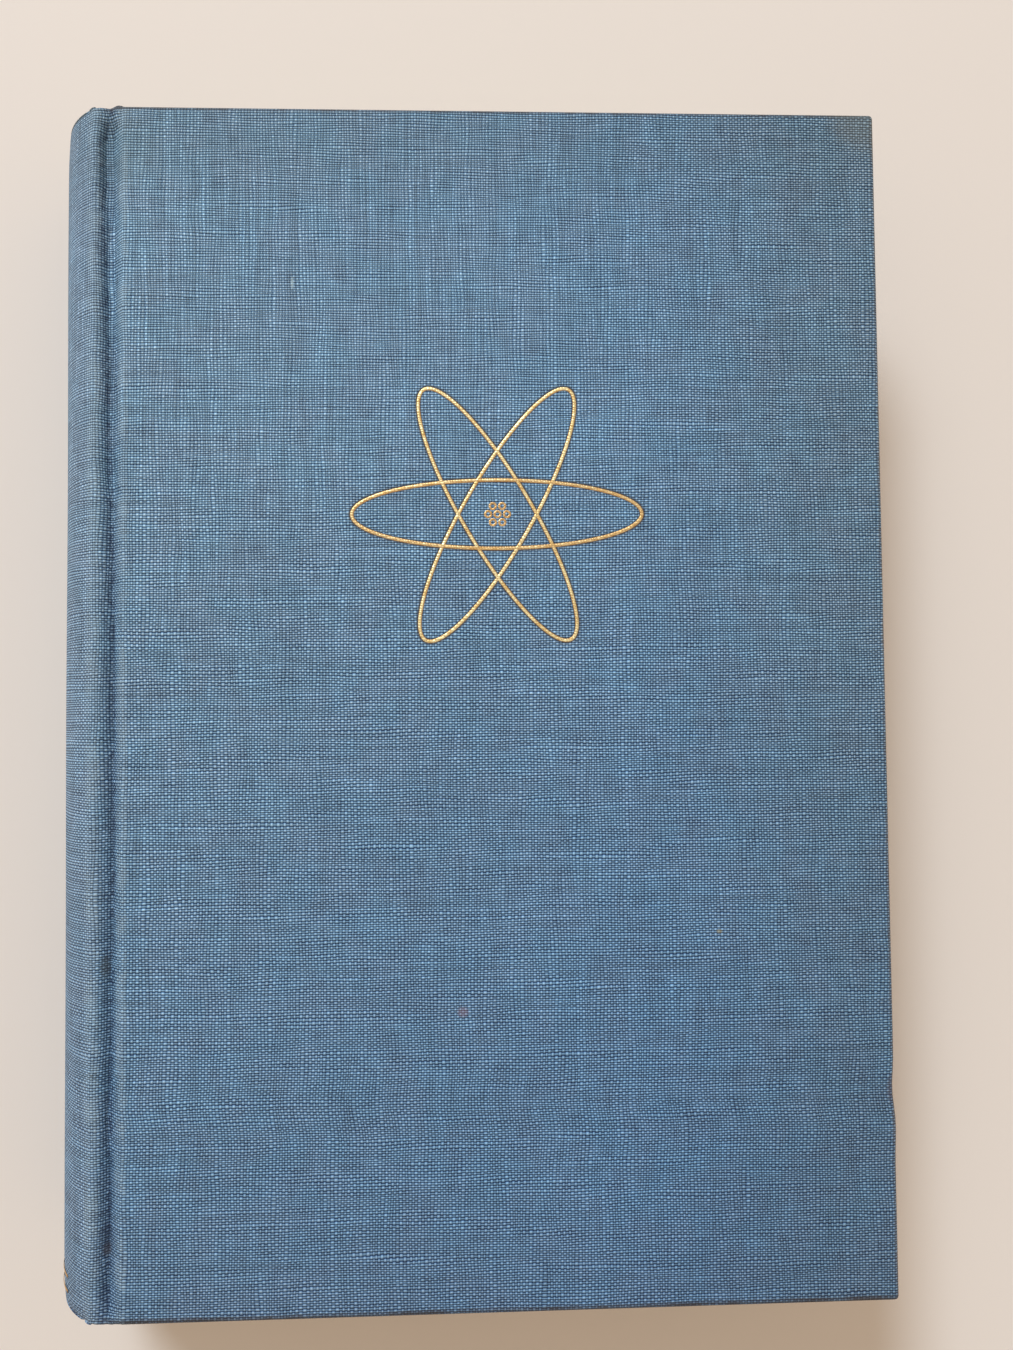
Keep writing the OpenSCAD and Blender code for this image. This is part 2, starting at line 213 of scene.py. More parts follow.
def case_lines():
    """The cloth's outer line from the spine's crown to the fore-edge, and the inner point behind each."""
    axis = (AXIS_U, 0)
    crown = (AXIS_U - SPINE_R, 0)
    outer = [crown] + arc(axis, SPINE_R, 180, RIDGE_A, SPINE_N)
    inner = [(AXIS_U - TUCK_R, 0)] + arc(axis, TUCK_R, 180, RIDGE_A, SPINE_N)
    tuck = 2 * CLOTH_T
    for i, p in enumerate(arc(axis, SPINE_R - tuck, 180, RIDGE_A, SPINE_N)):
        share = min(1, max(0, (i - SPINE_N + 3) / 2))
        inner[i + 1] = tuple((1 - share) * a + share * b for a, b in zip(inner[i + 1], p))
    outer += arc(RIDGE_C, RIDGE_R, RIDGE_A, TILT, RIDGE_N)
    inner += arc(RIDGE_C, RIDGE_R - tuck, RIDGE_A, TILT, RIDGE_N)
    flank = arc(VALLEY_C, VALLEY_R, 181 + TILT, 180 + TILT, 1)[0]
    deep = arc(VALLEY_C, VALLEY_R + tuck, 181 + TILT, 180 + TILT, 1)[0]
    outer += spread(outer[-1], flank, FLANK_N) + [flank]
    inner += spread(inner[-1], deep, FLANK_N) + [deep]
    outer += arc(VALLEY_C, VALLEY_R, 180 + TILT, 270, VALLEY_N)
    inner += arc(VALLEY_C, VALLEY_R + tuck, 180 + TILT, 270, VALLEY_N)
    foot = rounded_corner((HINGE_U, JOINT_H), (RAMP_U, JOINT_H), (JOINT_W, COVER_H), VALLEY_R, FOOT_N)
    brow = rounded_corner((RAMP_U, JOINT_H), (JOINT_W, COVER_H), (FORE_U, COVER_H), EDGE_R, BROW_N)
    rest = spread(outer[-1], foot[0], FLOOR_N) + foot + spread(foot[-1], brow[0], SLOPE_N) + brow
    rest += spread(brow[-1], (FORE_U - EDGE_R, COVER_H), TOP_N) + [(FORE_U - EDGE_R, COVER_H)]
    outer += rest
    inner += [(min(u, FORE_U - EDGE_R), TURN_H) for u, h in rest]
    return np.array(outer), np.array(inner)


def relaid(outer, spine_side, board_side):
    """The outer line with both sides of the joint laid along other curves, which meet in its crease."""
    line = outer.copy()
    sides = ((SWELL, CREASE, [outer[SWELL]] + spine_side), (CREASE, BROW, board_side + [outer[BROW]]))
    for first, last, curve in sides:
        curve = np.array(curve)
        run = np.r_[0, np.cumsum(np.linalg.norm(np.diff(curve, axis=0), axis=1))]
        share = np.r_[0, np.cumsum(np.linalg.norm(np.diff(outer[first:last + 1], axis=0), axis=1))]
        for axis in (0, 1):
            line[first:last + 1, axis] = np.interp(share / share[-1] * run[-1], run, curve[:, axis])
    for _ in range(2):
        before, here, after = line[SWELL:BROW - 1], line[SWELL + 1:BROW], line[SWELL + 2:BROW + 1]
        line[SWELL + 1:BROW] = (before + 2 * here + after) / 4
    return line


def joint_shapes(outer):
    """The joint as pressed, half closed, closed against the board's slope, and filled at head and tail."""
    half = relaid(outer, [(0.9, 16.42), (1.9, 16.1), (2.7, 15.6), (3.3, 15.1), (3.55, 14.95)],
                  [(3.55, 14.95), (3.85, 15.3), (4.2, 15.8), (4.55, 16.3)])
    closed = relaid(outer, [(0.9, 16.5), (1.7, 16.25), (2.4, 15.75), (2.95, 15.2)],
                    [(2.95, 15.2), (3.5, 15.6), (4.2, 16.2), (4.8, 16.8)])
    filled = relaid(outer, [(1.0, 16.66), (2.0, 16.68), (3.0, 16.74)],
                    [(3.0, 16.74), (3.8, 16.9), (4.6, 17.05)])
    return outer, half, closed, filled


def ripple(x, y, seed):
    """Smooth unevenness between about -1 and 1, the same at every run."""
    total = np.zeros(np.broadcast(x, y).shape)
    rng = np.random.default_rng(seed)
    for _ in range(6):
        fx, fy = rng.uniform(-1, 1, 2)
        total = total + np.sin(fx * x + fy * y + rng.uniform(0, 6.28))
    return total / 3


def cover_lift(u, y):
    """Unevenness of the board under the cloth, which dies out towards its edges."""
    fade = 1.0
    for inside in (u - FLAT_FROM, FORE_U - FLAT_RIM - u, CASE_H / 2 - FLAT_RIM - abs(y)):
        fade = fade * np.clip(inside / FADE_W, 0, 1)
    return BOARD_LIFT * ripple(u * 0.09, y * 0.09, 3) * fade


def near(off, reach):
    """1 at no distance, dying out softly over the reach."""
    return np.exp(-(off / reach) ** 2)


def select_none():
    if bpy.context.object and bpy.context.object.mode != "OBJECT":
        bpy.ops.object.mode_set(mode="OBJECT")
    bpy.ops.object.select_all(action="DESELECT")


def take(obj):
    """Makes obj the only selected and the active object."""
    select_none()
    obj.select_set(True)
    bpy.context.view_layer.objects.active = obj
    return obj


def apply_modifier(obj, kind, **settings):
    take(obj)
    modifier = obj.modifiers.new(kind.title(), kind)
    for key, value in settings.items():
        setattr(modifier, key, value)
    bpy.ops.object.modifier_apply(modifier=modifier.name)


def smooth(obj, angle=35):
    take(obj)
    bpy.ops.object.shade_smooth_by_angle(angle=math.radians(angle))


def place(u, y, h, side):
    """A point of the section as a place in the book's frame, in metres; side is -1 below the middle."""
    return np.stack([(RIDGE_X + u) * MM, y * MM + 0 * u, (MIDDLE_Z + side * h) * MM], -1)


def net(columns, rows):
    """A grid whose vertices will be laid out by code, with the column and row of each vertex."""
    select_none()
    bpy.ops.mesh.primitive_grid_add(x_subdivisions=columns - 1, y_subdivisions=rows - 1, size=2)
    obj = bpy.context.object
    co = np.array([v.co for v in obj.data.vertices])
    i = np.rint((co[:, 0] + 1) / 2 * (columns - 1)).astype(int)
    j = np.rint((co[:, 1] + 1) / 2 * (rows - 1)).astype(int)
    return obj, i, j


def lay_out(obj, points):
    obj.data.vertices.foreach_set("co", np.asarray(points, np.float32).ravel())
    obj.data.update()


def face_out(obj, side):
    """Turns the faces over where the grid was mirrored."""
    if side < 0:
        take(obj)
        bpy.ops.object.mode_set(mode="EDIT")
        bpy.ops.mesh.select_all(action="SELECT")
        bpy.ops.mesh.flip_normals()
        bpy.ops.object.mode_set(mode="OBJECT")


# Cloth of the case


def section_round():
    """The section all the way round the cloth, and what each of its points needs.

    Gives the outer line, the number of points on the board's edge, the whole round, its forms along the
    joint, the outer point that each point belongs to, the outward normals, how far the round over head and
    tail reaches in, and the middle line.
    """
    outer, inner = case_lines()
    n = len(outer)
    edge = rounded_corner((FORE_U - 9, COVER_H), (FORE_U, COVER_H), (FORE_U, TURN_H), EDGE_R, 5)[1:]
    edge += spread(edge[-1], (FORE_U, TURN_H + INNER_R), 3)
    edge += rounded_corner((FORE_U, COVER_H), (FORE_U, TURN_H), (FORE_U - 9, TURN_H), INNER_R, 3)
    e = len(edge)
    base = np.vstack([outer, edge, inner[::-1]])
    shapes = [np.vstack([shape, edge, inner[::-1]]) for shape in joint_shapes(outer)]
    m = len(base)
    pair = np.r_[np.arange(n), np.full(e, n - 1), np.arange(n)[::-1]]
    thick = np.linalg.norm(outer - inner, axis=1)
    tangent = np.gradient(base, axis=0)
    normal = np.stack([-tangent[:, 1], tangent[:, 0]], 1)
    normal /= np.maximum(np.linalg.norm(normal, axis=1), 1e-9)[:, None]
    half = thick[pair] / 2
    inset = np.minimum(np.where(np.arange(m) < n + e - 4, EDGE_R, INNER_R), half)
    inset[n + e:] = np.where(inner[::-1, 0] > RAMP_U, INNER_R, half[n + e:])
    middle = ((outer + inner) / 2)[pair]
    middle[pair == n - 1] = (FORE_U - 1.5, (COVER_H + TURN_H) / 2)
    return outer, e, base, shapes, pair, normal, inset, middle


def write_lie(obj, straight, capped, at_cap):
    """The cloth's own flat lie, in millimetres from the crown and from the middle, drives its weave."""
    layer = obj.data.uv_layers[0]
    layer.name = "lie"
    for poly in obj.data.polygons:
        lie = capped if all(at_cap[v] for v in poly.vertices) else straight
        for loop, v in zip(poly.loop_indices, poly.vertices):
            layer.data[loop].uv = lie[v] / LIE_UNIT


def cut_out(obj, inside):
    """Deletes the faces whose corners are all inside, and welds the points that lie together."""
    take(obj)
    bpy.ops.object.mode_set(mode="EDIT")
    bpy.ops.mesh.select_all(action="DESELECT")
    bpy.ops.mesh.select_mode(type="FACE")
    bpy.ops.object.mode_set(mode="OBJECT")
    for poly in obj.data.polygons:
        poly.select = all(inside[v] for v in poly.vertices)
    bpy.ops.object.mode_set(mode="EDIT")
    bpy.ops.mesh.delete(type="FACE")
    bpy.ops.mesh.select_all(action="SELECT")
    bpy.ops.mesh.remove_doubles(threshold=1e-6)
    bpy.ops.object.mode_set(mode="OBJECT")


def cover_cloth(side, name):
    """Half of the case's cloth: from the crown through the joint and around the board, turned in."""
    outer, e, base, shapes, pair, normal, inset, middle = section_round()
    n, m = len(outer), len(base)
    y_main = np.unique(np.r_[np.linspace(-ROUND_FROM_Y, ROUND_FROM_Y, 104), -OPEN_H, OPEN_H])
    turns = [90, 64, 40, 18, 0]
    rows = [("mid", -1)] + [(t, -1) for t in turns] + list(y_main)
    rows += [(t, 1) for t in reversed(turns)] + [("mid", 1)]
    obj, i, j = net(m, len(rows))
    points = np.zeros((len(rows), m, 3))
    flat = np.zeros((len(rows), m, 2))
    run = np.r_[0, np.cumsum(np.linalg.norm(np.diff(base, axis=0), axis=1))]
    for r, row in enumerate(rows):
        if isinstance(row, tuple):
            turn, end = row
            theta = math.radians(90 if turn == "mid" else turn)
            y = end * (CASE_H / 2 - inset * (1 - math.sin(theta)))
            if side * end > 0:
                y = y + 0.5 * near(base[:, 0] - KNOT_U, 0.8) * (np.arange(m) < n) * math.sin(theta)
            shrink = inset * (1 - math.cos(theta))
        else:
            y, shrink = np.full(m, row), np.zeros(m)
        shares = joint_shares(y, side)
        here = sum(share[:, None] * shape for share, shape in zip(shares, shapes))
        here = shaped(here, y, n, side)
        here = here - normal * shrink[:, None]
        if isinstance(row, tuple) and row[0] == "mid":
            here = middle
        points[r] = place(here[:, 0], y, here[:, 1], side)
        flat[r, :, 0] = run
        if not isinstance(row, tuple):
            from_crown = np.r_[0, np.cumsum(np.linalg.norm(np.diff(here[:n], axis=0), axis=1))]
            flat[r, :CREASE + 1, 0] = from_crown[:CREASE + 1]
            flat[r, CREASE + 1:n, 0] = run[n - 1] - from_crown[-1] + from_crown[CREASE + 1:]
        flat[r, :, 1] = y
    lay_out(obj, points[j, i])
    # over head and tail the weave goes on as if the cloth were unrolled there
    head_or_tail = np.where(j < len(rows) / 2, -1, 1)
    level = (points[j, i, 2] / MM - MIDDLE_Z) * side
    capped = np.stack([run[pair][i], head_or_tail * (CASE_H / 2 + outer[pair[i], 1] - level)], -1)
    fore_edge = (run[n], 0)
    write_lie(obj, flat[j, i] - fore_edge, capped - fore_edge, (j <= 3) | (j >= len(rows) - 4))
    window = (base[i, 0] < FORE_U - TURN_IN) & (abs(points[j, i, 1]) / MM < OPEN_H + 0.01)
    cut_out(obj, (i >= n + e) & window)
    face_out(obj, side)
    apply_modifier(obj, "SOLIDIFY", thickness=(CLOTH_T - 0.03) * MM, offset=-1, use_even_offset=False)
    co = np.array([v.co for v in obj.data.vertices])
    lowest, highest = np.array(cad_box[0]), np.array(cad_box[1])
    lay_out(obj, np.clip(co, lowest, highest + np.array(PROUD) * MM))
    obj.name = name
    smooth(obj, 50)
    start, end = RIDGE_X + BEND_FROM_U, RIDGE_X + BEND_TO_U
    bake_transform(obj)
    return obj


def joint_shares(y, side):
    """How much of each joint shape there is at each height: pressed at the head and closed up at the tail."""
    wander = 0.16 * np.sin(0.09 * y + 1.1) + 0.1 * np.sin(0.23 * y) + 0.08 * np.sin(0.51 * y + 2)
    trend = np.interp(y, [-93, 8, 90], [2, 1, 0.05]) if side > 0 else 0.7 + 0 * y
    closing = np.clip(trend + wander, 0, 2)
    rise = np.clip((abs(y) - 103.6) / 3.2, 0, 1)
    filled = np.where(y > 0, 0.74, 0.95) * rise * rise * (3 - 2 * rise)
    half = 1 - abs(closing - 1)
    pressed, closed = np.clip(1 - closing, 0, 1), np.clip(closing - 1, 0, 1)
    return [share * (1 - filled) for share in (pressed, half, closed)] + [filled]


def shaped(line, y, n, side):
    """Wear and hand-made unevenness of the section at height y."""
    out = line.copy()
    u, h = line[:n, 0], line[:n, 1]
    y = y[:n]
    lift = cover_lift(u, y) if side > 0 else 0.8 * cover_lift(u, -y)
    out[:n, 1] += lift
    # soft unevenness of the spine, along its normals
    spine = np.clip((1.0 - u) / 3, 0, 1) * np.clip((107 - abs(y)) / 6, 0, 1)
    push = 0.05 * ripple(u * 0.25, y * 0.11, 11) * spine * np.clip(h / 4, 0, 1)
    out[:n, 0] -= push * (AXIS_U - u) / SPINE_R
    out[:n, 1] += push * h / SPINE_R
    # the caps at its ends are moulded in
    cap = 0.33 * (np.clip((abs(y) - 99) / 9, 0, 1) ** 2) * np.clip((0.4 - u) / 1.5, 0, 1)
    out[:n, 0] += cap * (AXIS_U - u) / SPINE_R
    out[:n, 1] -= cap * h / SPINE_R
    # the crease wanders, and the cloth is puckered up where it is turned in at its ends
    wander = 0.16 * ripple(0 * y, y * 0.42, 21 if side > 0 else 22)
    out[:n, 0] += wander * near(np.arange(n) - CREASE, 3.0)
    pucker = near(u - PUCKER_U, 0.9) * near(y - ROUND_FROM_Y, 1.3) * (1.0 if side > 0 else 0.4)
    out[:n, 1] += 0.5 * pucker
    # a small dent in the front board's fore-edge has pushed the cloth out beside it
    if side > 0:
        out[n - 3:n + 12, 0] -= 0.34 * near(y[0] - DENT_Y, 3.4) - 0.22 * near(y[0] - DENT_Y + 7, 3.6)
    return out


front_cover_cloth = cover_cloth(1, "front_cover_cloth")
back_cover_cloth = cover_cloth(-1, "back_cover_cloth")
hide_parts("front_cloth", "spine_cloth")
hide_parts("back_cloth")


# Endpapers


def endpaper(side, name):
    """The pasted half of an endpaper, from its fold on the free half up to the fore-edge of the board."""
    low = [(3.4, FOLD_H - FOLD_R), (FOLD_U, FOLD_H - FOLD_R)]
    turns = [math.asin(-1 + 2 * i / FOLD_N) for i in range(1, FOLD_N)]
    bend = [(FOLD_U - FOLD_R * math.cos(turn), FOLD_H + FOLD_R * math.sin(turn)) for turn in turns]
    line = low + bend + [(FOLD_U, FOLD_H + FOLD_R)]
    fore = (PAGE_W - PAPER_PLAY, FOLD_H + FOLD_R)
    line = np.array(line + spread(line[-1], fore, 40) + [fore])
    ys = np.linspace(-PAGE_H / 2 + PAPER_PLAY, PAGE_H / 2 - PAPER_PLAY, 40)
    obj, i, j = net(len(line), len(ys))
    points = np.stack([place(line[:, 0], y, line[:, 1], side) for y in ys])
    lay_out(obj, points[j, i])
    face_out(obj, side)
    apply_modifier(obj, "SOLIDIFY", thickness=PAPER_T * MM, offset=0)
    obj.name = name
    smooth(obj, 50)
    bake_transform(obj)
    return obj


front_endpaper = endpaper(1, "front_pasted_endpaper")
back_endpaper = endpaper(-1, "back_pasted_endpaper")
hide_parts("front_pastedown")
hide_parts("back_pastedown")


# Gold foil


def foil_line(name, half_l, half_w, width, turn, centre, sides):
    """A flattened line of foil along an oval, as a mesh lying on the front cover."""
    select_none()
    bpy.ops.mesh.primitive_circle_add(vertices=sides, radius=MM)
    obj = bpy.context.object
    bpy.ops.transform.resize(value=(half_l - width / 2, half_w - width / 2, 1))
    bpy.ops.object.transform_apply(location=False, rotation=False, scale=True)
    bpy.ops.object.convert(target="CURVE")
    obj.data.bevel_depth = width / 2 * MM
    obj.data.bevel_resolution = 2
    bpy.ops.object.convert(target="MESH")
    bpy.ops.transform.resize(value=(1, 1, FOIL_FLATNESS))
    obj.rotation_euler = (0, 0, math.radians(turn))
    obj.location = ((RIDGE_X + centre[0]) * MM, centre[1] * MM, 2 * COVER_H * MM)
    bpy.ops.object.transform_apply(location=True, rotation=True, scale=True)
    obj.name = name
    return obj


def join(parts, name):
    take(parts[0])
    for part in parts:
        part.select_set(True)
    bpy.ops.object.join()
    obj = bpy.context.object
    obj.name = name
    return obj


def cover_figure():
    """Three even ovals crossing over a close cluster of small rings."""
    centre = (FIGURE_U, FIGURE_Y)
    parts = [foil_line("oval", OVAL_L / 2, OVAL_W / 2, LINE_W + LINE_SPREAD, turn, centre, 128)
             for turn in OVAL_TURNS]
    around = [math.radians(a) for a in range(0, 360, 60)]
    spots = [(0, 0)] + [(RING_PITCH * math.cos(a), RING_PITCH * math.sin(a)) for a in around]
    for du, dy in spots:
        at = (FIGURE_U + du, FIGURE_Y + dy)
        parts.append(foil_line("ring", RING_D / 2, RING_D / 2, RING_LINE_W, 0, at, 24))
    obj = join(parts, "cover_foil_figure")
    co = np.array([v.co for v in obj.data.vertices])
    co[:, 2] += cover_lift(co[:, 0] / MM - RIDGE_X, co[:, 1] / MM) * MM
    lay_out(obj, co)
    smooth(obj, 60)
    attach(obj, "front_cover")
    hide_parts("cover_figure")
    return obj


def spine_rules():
    """Two plain rules around the foot of the spine, each spun from its flattened section."""
    parts = []
    axis = Vector(((RIDGE_X + AXIS_U) * MM, 0, MIDDLE_Z * MM))
    for y in RULES_Y:
        select_none()
        bpy.ops.mesh.primitive_circle_add(vertices=10, radius=LINE_W / 2 * MM)
        obj = bpy.context.object
        bpy.ops.transform.resize(value=(FOIL_FLATNESS, 1, 1))
        obj.location = (-SPINE_R * MM, 0, 0)
        bpy.ops.object.transform_apply(location=True, rotation=False, scale=True)
        bpy.ops.object.mode_set(mode="EDIT")
        bpy.ops.mesh.select_all(action="SELECT")
        bpy.ops.mesh.spin(steps=36, angle=math.radians(2 * RULE_REACH), center=(0, 0, 0), axis=(0, 1, 0))
        bpy.ops.object.mode_set(mode="OBJECT")
        co = np.array([v.co for v in obj.data.vertices])
        reach = np.degrees(np.arctan2(co[:, 2], -co[:, 0]))
        obj.rotation_euler = (0, math.radians(-(reach.max() + reach.min()) / 2), 0)
        obj.location = axis + Vector((0, y * MM, 0))
        bpy.ops.object.transform_apply(location=True, rotation=True, scale=True)
        take(obj)
        bpy.ops.object.mode_set(mode="EDIT")
        bpy.ops.mesh.select_all(action="SELECT")
        bpy.ops.mesh.normals_make_consistent(inside=False)
        bpy.ops.object.mode_set(mode="OBJECT")
        parts.append(obj)
    obj = join(parts, "spine_foil_rules")
    smooth(obj, 60)
    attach(obj, "block")
    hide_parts("spine_rules")
    return obj


foil_figure = cover_figure()
foil_rules = spine_rules()


# Shader graphs


class Graph:
    """Adds nodes to a tree and joins them; a socket, a number or a tuple may be given for any input."""

    def __init__(self, tree):
        self.tree = tree

    def add(self, kind, *values, out=0, **settings):
        node = self.tree.nodes.new(kind)
        for key, value in settings.items():
            setattr(node, key, value)
        for socket, value in zip([s for s in node.inputs if s.enabled], values):
            self.put(socket, value)
        return node.outputs[out] if out is not None else node

    def put(self, socket, value):
        if value is None:
            return
        if isinstance(value, bpy.types.NodeSocket):
            self.tree.links.new(value, socket)
        else:
            socket.default_value = value

    def math(self, operation, a, b=None, c=None, clamp=False):
        return self.add("ShaderNodeMath", a, b, c, operation=operation, use_clamp=clamp)

    def times(self, a, b):
        return self.math("MULTIPLY", a, b)

    def plus(self, a, b):
        return self.math("ADD", a, b)

    def minus(self, a, b, clamp=False):
        return self.math("SUBTRACT", a, b, clamp=clamp)

    def times_plus(self, a, b, c):
        return self.math("MULTIPLY_ADD", a, b, c)

    def scaled(self, value, low, high, to_low=0, to_high=1, smooth_step=True):
        kind = "SMOOTHSTEP" if smooth_step else "LINEAR"
        return self.add("ShaderNodeMapRange", value, low, high, to_low, to_high, interpolation_type=kind)

    def noise(self, vector, scale, detail=2, rough=0.5, dimensions="3D"):
        node = self.tree.nodes.new("ShaderNodeTexNoise")
        node.noise_dimensions = dimensions
        self.put(node.inputs["Vector"], vector)
        for key, value in (("Scale", scale), ("Detail", detail), ("Roughness", rough)):
            self.put(node.inputs[key], value)
        return node.outputs["Fac"]

    def vector(self, x, y, z=0.0):
        return self.add("ShaderNodeCombineXYZ", x, y, z)

    def parts(self, vector):
        node = self.add("ShaderNodeSeparateXYZ", vector, out=None)
        return node.outputs

    def mix(self, factor, a, b, blend="MIX"):
        node = self.tree.nodes.new("ShaderNodeMix")
        node.data_type = "RGBA"
        node.blend_type = blend
        for socket, value in zip((node.inputs[0], node.inputs[6], node.inputs[7]), (factor, a, b)):
            self.put(socket, value if not isinstance(value, tuple) else (*value, 1)[:4])
        return node.outputs[2]

    def ramp(self, factor, *stops):
        node = self.tree.nodes.new("ShaderNodeValToRGB")
        self.put(node.inputs[0], factor)
        band = node.color_ramp.elements
        while len(band) < len(stops):
            band.new(0.5)
        for element, (at, colour) in zip(band, stops):
            element.position = at
            element.color = (*colour, 1)
        return node.outputs[0]


def group_tree(name, inputs, outputs):
    """A shader node group with named sockets; gives its graph, inputs and a way to set its outputs."""
    tree = bpy.data.node_groups.new(name, "ShaderNodeTree")
    for label, kind, default in inputs:
        socket = tree.interface.new_socket(name=label, in_out="INPUT", socket_type=kind)
        if default is not None:
            socket.default_value = default
    for label, kind in outputs:
        tree.interface.new_socket(name=label, in_out="OUTPUT", socket_type=kind)
    graph = Graph(tree)
    entry = tree.nodes.new("NodeGroupInput")
    exit_ = tree.nodes.new("NodeGroupOutput")
    return graph, entry.outputs, exit_.inputs


FLOAT, VECTOR, COLOUR = "NodeSocketFloat", "NodeSocketVector", "NodeSocketColor"


def make_weave():
    """Plain weave: height from 0 in the gaps to 1 on the upright crowns, and a tone uneven by thread."""
    g, given, out = group_tree(
        "plain_weave",
        [("Lie", VECTOR, None), ("Across", FLOAT, ACROSS_PITCH), ("Along", FLOAT, ALONG_PITCH),
         ("Slubs", FLOAT, 1.0), ("Open rows", FLOAT, 1.0)],
        [("Height", FLOAT), ("Tone", FLOAT), ("Upright", FLOAT)],
    )
    x, y, _ = g.parts(given["Lie"])
    sway_x = g.noise(g.vector(g.times(x, 0.25), g.times(y, 0.05)), 1.0, 2, 0.5, "2D")
    sway_y = g.noise(g.vector(g.times(x, 0.04), g.times(y, 0.25)), 1.0, 2, 0.5, "2D")
    a = g.math("DIVIDE", g.times_plus(sway_x, 1.3, x), given["Across"])
    b = g.math("DIVIDE", g.times_plus(sway_y, 1.1, y), given["Along"])
    i, j = g.math("FLOOR", a), g.math("FLOOR", b)
    fa = g.minus(g.math("FRACT", a), 0.5)
    fb = g.minus(g.math("FRACT", b), 0.5)
    tone_i = g.noise(g.vector(g.times(i, 5.17), g.times(y, 0.05)), 1.0, 1.5, 0.6, "2D")
    tone_j = g.noise(g.vector(g.times(x, 0.045), g.times(j, 5.17)), 1.0, 1.5, 0.6, "2D")
    fat_i = g.noise(g.vector(g.times_plus(i, 3.31, 40.0), g.times(y, 0.24)), 1.0, 1, 0.5, "2D")
    fat_j = g.noise(g.vector(g.times(x, 0.22), g.times_plus(j, 3.31, 70.0)), 1.0, 1, 0.5, "2D")
    slub_i = g.times(g.minus(fat_i, 0.5), given["Slubs"])
    slub_j = g.times(g.minus(fat_j, 0.5), given["Slubs"])
    half_i = g.plus(g.times_plus(slub_i, 0.26, 0.41), g.times(given["Open rows"], 0.06))
    half_j = g.minus(g.times_plus(slub_j, 0.26, 0.40), g.times(given["Open rows"], 0.06))

    def bulge(across, half):
        part = g.math("DIVIDE", across, half)
        rest = g.minus(1.0, g.times(part, part), clamp=True)
        return g.math("SQRT", rest)

    over_i = g.math("COSINE", g.times(g.plus(g.minus(b, 0.5), i), math.pi))
    over_j = g.math("COSINE", g.times(g.plus(g.minus(a, 0.5), j), math.pi))
    swell = g.times_plus(g.math("MAXIMUM", over_i, 0.0), 0.23, g.times_plus(over_i, 0.46, 0.31))
    z_i = g.times(bulge(fa, half_i), swell)
    z_j = g.times(bulge(fb, half_j), g.times_plus(over_j, -0.25, 0.53))
    height = g.math("MAXIMUM", g.math("MAXIMUM", z_i, z_j), 0.0)
    g.put(out["Height"], height)
    upright = g.math("GREATER_THAN", z_i, z_j)
    g.put(out["Upright"], upright)
    spread_tone = g.plus(g.times(tone_i, upright), g.times(tone_j, g.minus(1.0, upright)))
    g.put(out["Tone"], g.times_plus(g.plus(slub_i, slub_j), 0.35, spread_tone))
    return g.tree


WEAVE = make_weave()


def linear(r, g, b):
    """A colour given in display values from 0 to 255, as the renderer's linear numbers."""
    def one(v):
        v /= 255
        return v / 12.92 if v <= 0.04045 else ((v + 0.055) / 1.055) ** 2.4
    return (one(r), one(g), one(b))


def material(name, roughness=0.8, **settings):
    mat = bpy.data.materials.new(name)
    mat.use_nodes = True
    g = Graph(mat.node_tree)
    shader = mat.node_tree.nodes["Principled BSDF"]
    shader.inputs["Roughness"].default_value = roughness
    for key, value in settings.items():
        shader.inputs[key.replace("_", " ")].default_value = value
    return mat, g, shader


def bump(g, shader, height, distance, strength=1.0):
    node = g.tree.nodes.new("ShaderNodeBump")
    node.inputs["Strength"].default_value = strength
    node.inputs["Distance"].default_value = distance * MM
    g.put(node.inputs["Height"], height)
    g.put(shader.inputs["Normal"], node.outputs[0])


def use_weave(g, lie, across=ACROSS_PITCH, along=ALONG_PITCH, slubs=1.0, open_rows=1.0):
    node = g.tree.nodes.new("ShaderNodeGroup")
    node.node_tree = WEAVE
    given = {"Lie": lie, "Across": across, "Along": along, "Slubs": slubs, "Open rows": open_rows}
    for key, value in given.items():
        g.put(node.inputs[key], value)
    return node.outputs


def object_mm(g, centre=(0, 0, 0)):
    """Object coordinates in millimetres from a point given in millimetres."""
    at = g.add("ShaderNodeTexCoord", out=3)
    node = g.tree.nodes.new("ShaderNodeMapping")
    g.put(node.inputs["Vector"], at)
    node.inputs["Scale"].default_value = (1 / MM,) * 3
    node.inputs["Location"].default_value = tuple(-c for c in centre)
    return node.outputs[0]


def spot(g, x, y, at, reach):
    """A soft round or oval mask: 1 at its middle and 0 at its reach."""
    dx = g.math("DIVIDE", g.minus(x, at[0]), reach[0])
    dy = g.math("DIVIDE", g.minus(y, at[1]), reach[1])
    off = g.plus(g.times(dx, dx), g.times(dy, dy))
    return g.scaled(off, 0.0, 1.0, 1.0, 0.0)


def gap_to_oval(g, x, y, turn):
    """Distance in millimetres from the line of one of the figure's ovals, near that line."""
    c, n = math.cos(math.radians(turn)), math.sin(math.radians(turn))
    a, b = (OVAL_L - LINE_W) / 2, (OVAL_W - LINE_W) / 2
    dx, dy = g.minus(x, FIGURE_U), g.minus(y, FIGURE_Y)
    p = g.times_plus(dx, c / a, g.times(dy, n / a))
    q = g.times_plus(dx, -n / b, g.times(dy, c / b))
    r = g.math("SQRT", g.times_plus(p, p, g.times(q, q)))
    pa, qb = g.math("DIVIDE", p, a), g.math("DIVIDE", q, b)
    slope = g.math("SQRT", g.times_plus(pa, pa, g.times(qb, qb)))
    off = g.times(g.math("ABSOLUTE", g.minus(r, 1.0)), r)
    return g.math("DIVIDE", off, slope)


def gaps_to_ovals(g, x, y):
    """The distance from each oval's line, and the least of them."""
    gaps = [gap_to_oval(g, x, y, turn) for turn in OVAL_TURNS]
    return gaps, g.math("MINIMUM", g.math("MINIMUM", gaps[0], gaps[1]), gaps[2])


